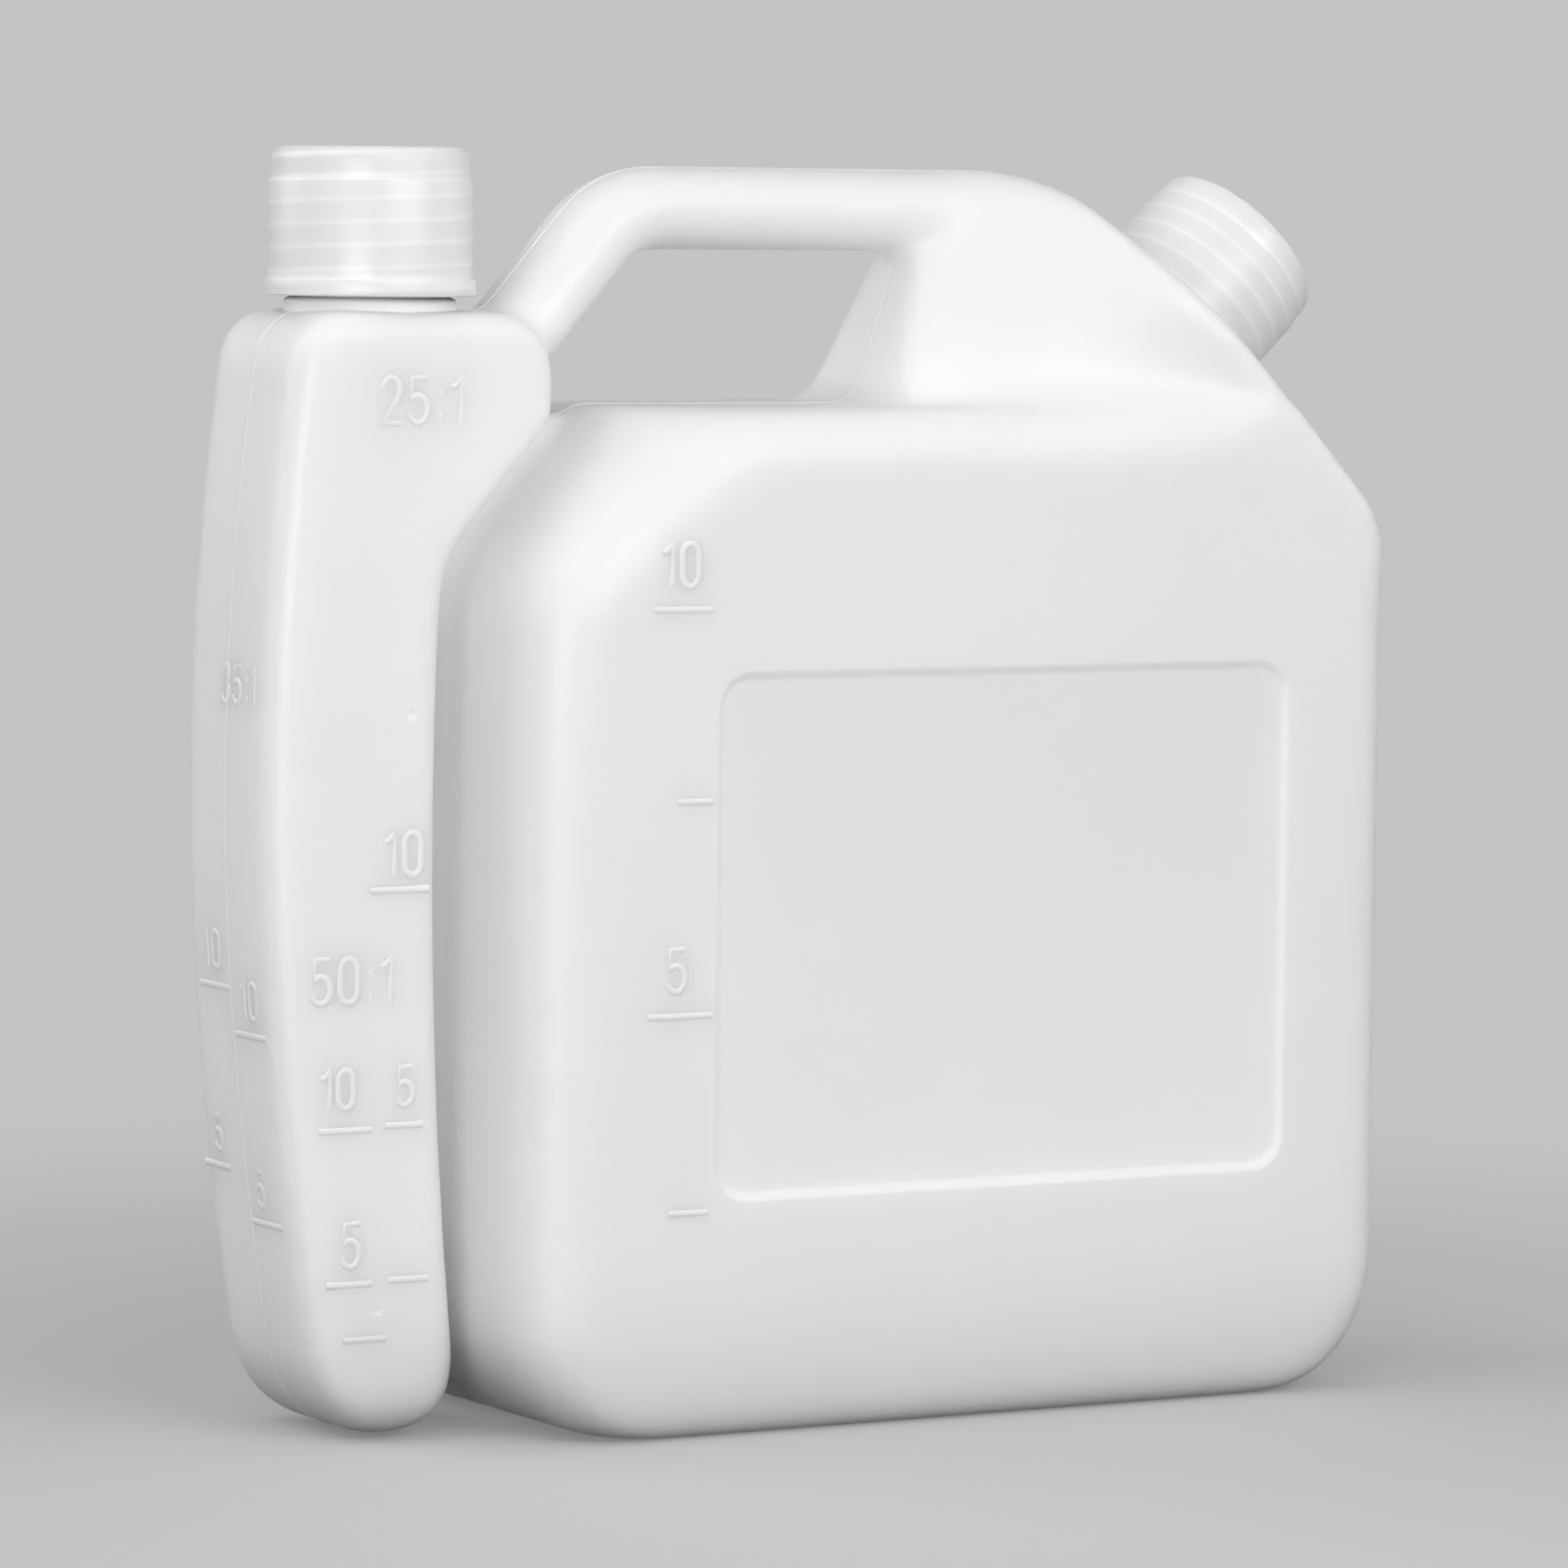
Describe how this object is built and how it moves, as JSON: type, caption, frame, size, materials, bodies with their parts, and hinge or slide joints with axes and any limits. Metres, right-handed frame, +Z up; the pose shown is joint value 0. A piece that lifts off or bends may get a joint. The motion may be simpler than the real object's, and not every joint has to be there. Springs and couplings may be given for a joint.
{
  "type": "fuel mixing bottle",
  "caption": "Translucent blow-moulded bottle with a wide petrol chamber, a slim oil chamber, a hollow top handle, a slanted neck, an upright neck and screw caps.",
  "frame": {"origin": "centre of the overall box, on the surface that the bottle stands on", "axes": "+Z up, +X from the oil chamber towards the petrol chamber and its slanted neck, -Y towards the front with the recessed panel"},
  "size_m": [0.18, 0.063, 0.1849],
  "materials": {
    "bottle_plastic": "translucent milky polyethylene, softly satin",
    "cap_plastic": "translucent milky polyethylene, smooth",
    "liner_foam": "soft white sealing foam"
  },
  "bodies": {
    "bottle_body": {"bottle": "bottle_plastic"},
    "oil_liner_body": {"oil_cap_liner": "liner_foam"},
    "oil_cap_body": {"oil_cap": "cap_plastic"},
    "petrol_liner_body": {"petrol_cap_liner": "liner_foam"},
    "petrol_cap_body": {"petrol_cap": "cap_plastic"}
  },
  "joints": [
    {"name": "oil_cap_rise", "type": "slide", "parent": "bottle_body", "child": "oil_liner_body", "axis": [0, 0, 1], "range_m": [0, 0.00826]},
    {"name": "oil_cap_turn", "type": "hinge", "parent": "oil_liner_body", "child": "oil_cap_body", "pos_m": [-0.0675, 0, 0.1616], "axis": [0, 0, 1], "range_deg": [0, 900]},
    {"name": "petrol_cap_rise", "type": "slide", "parent": "bottle_body", "child": "petrol_liner_body", "axis": [0.7349, 0, 0.6782], "range_m": [0, 0.00826]},
    {"name": "petrol_cap_turn", "type": "hinge", "parent": "petrol_liner_body", "child": "petrol_cap_body", "pos_m": [0.0646, 0, 0.1573], "axis": [0.7349, 0, 0.6782], "range_deg": [0, 900]}
  ],
  "couplings": [
    {"joint": "oil_cap_rise", "follows": "oil_cap_turn", "m_per_rad": 0.00052521},
    {"joint": "petrol_cap_rise", "follows": "petrol_cap_turn", "m_per_rad": 0.00052521}
  ]
}
